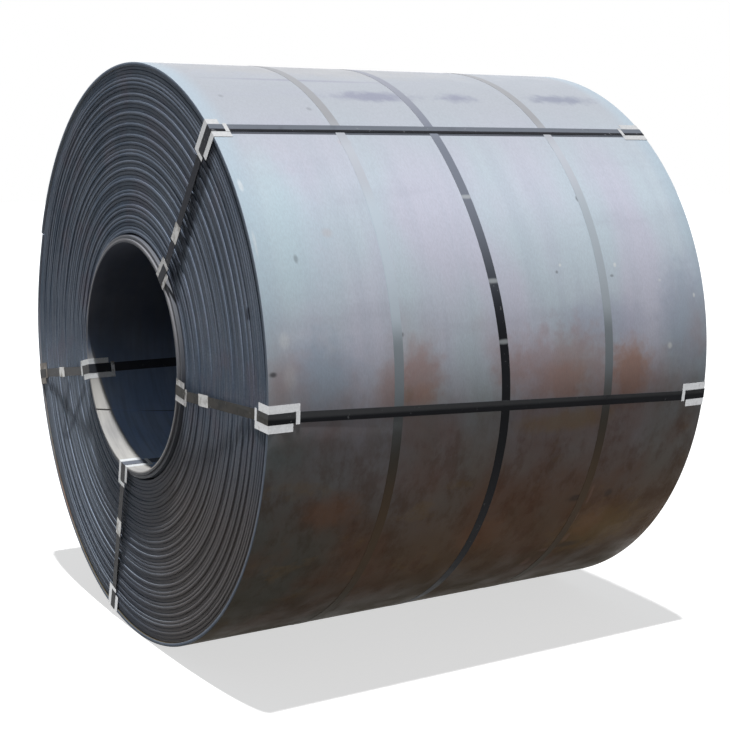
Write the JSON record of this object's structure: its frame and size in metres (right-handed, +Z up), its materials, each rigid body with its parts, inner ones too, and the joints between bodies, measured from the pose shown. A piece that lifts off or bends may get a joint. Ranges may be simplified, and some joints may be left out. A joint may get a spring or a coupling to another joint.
{
  "type": "strapped hot-rolled steel coil",
  "caption": "Wide coil of hot-rolled steel strip on its side, open bore, held by belly and eye straps with hooked edge protectors.",
  "frame": {"origin": "on the floor under the middle of the coil, at the centre of the bounding box's bottom", "axes": "X along the coil axis with the end whose inner wraps stand out facing -X, +Z up, -Y the side that the picture shows"},
  "size_m": [1.679, 1.922, 1.9216],
  "materials": {
    "mill_scale_steel": "satin blue-grey mill scale",
    "black_strapping": "semi-gloss black",
    "grey_strapping": "satin, oxide grey",
    "galvanised_sheet": "light galvanised"
  },
  "bodies": {
    "root": {"coil": "mill_scale_steel", "belly_strap_near": "grey_strapping", "belly_seal_near": "galvanised_sheet", "belly_strap_middle": "black_strapping", "belly_seal_middle": "galvanised_sheet", "belly_strap_far": "grey_strapping", "belly_seal_far": "galvanised_sheet", "eye_strap_upper": "black_strapping", "eye_seal_upper": "galvanised_sheet", "edge_protector_upper_near": "galvanised_sheet", "bore_protector_upper_near": "galvanised_sheet", "edge_protector_upper_far": "galvanised_sheet", "bore_protector_upper_far": "galvanised_sheet", "eye_strap_front": "black_strapping", "eye_seal_front": "galvanised_sheet", "edge_protector_front_near": "galvanised_sheet", "bore_protector_front_near": "galvanised_sheet", "edge_protector_front_far": "galvanised_sheet", "bore_protector_front_far": "galvanised_sheet", "eye_strap_rear": "black_strapping", "eye_seal_rear": "galvanised_sheet", "edge_protector_rear_near": "galvanised_sheet", "bore_protector_rear_near": "galvanised_sheet", "edge_protector_rear_far": "galvanised_sheet", "bore_protector_rear_far": "galvanised_sheet", "eye_strap_lower": "black_strapping", "eye_seal_lower": "galvanised_sheet", "edge_protector_lower_near": "galvanised_sheet", "bore_protector_lower_near": "galvanised_sheet", "edge_protector_lower_far": "galvanised_sheet", "bore_protector_lower_far": "galvanised_sheet"}
  },
  "joints": []
}
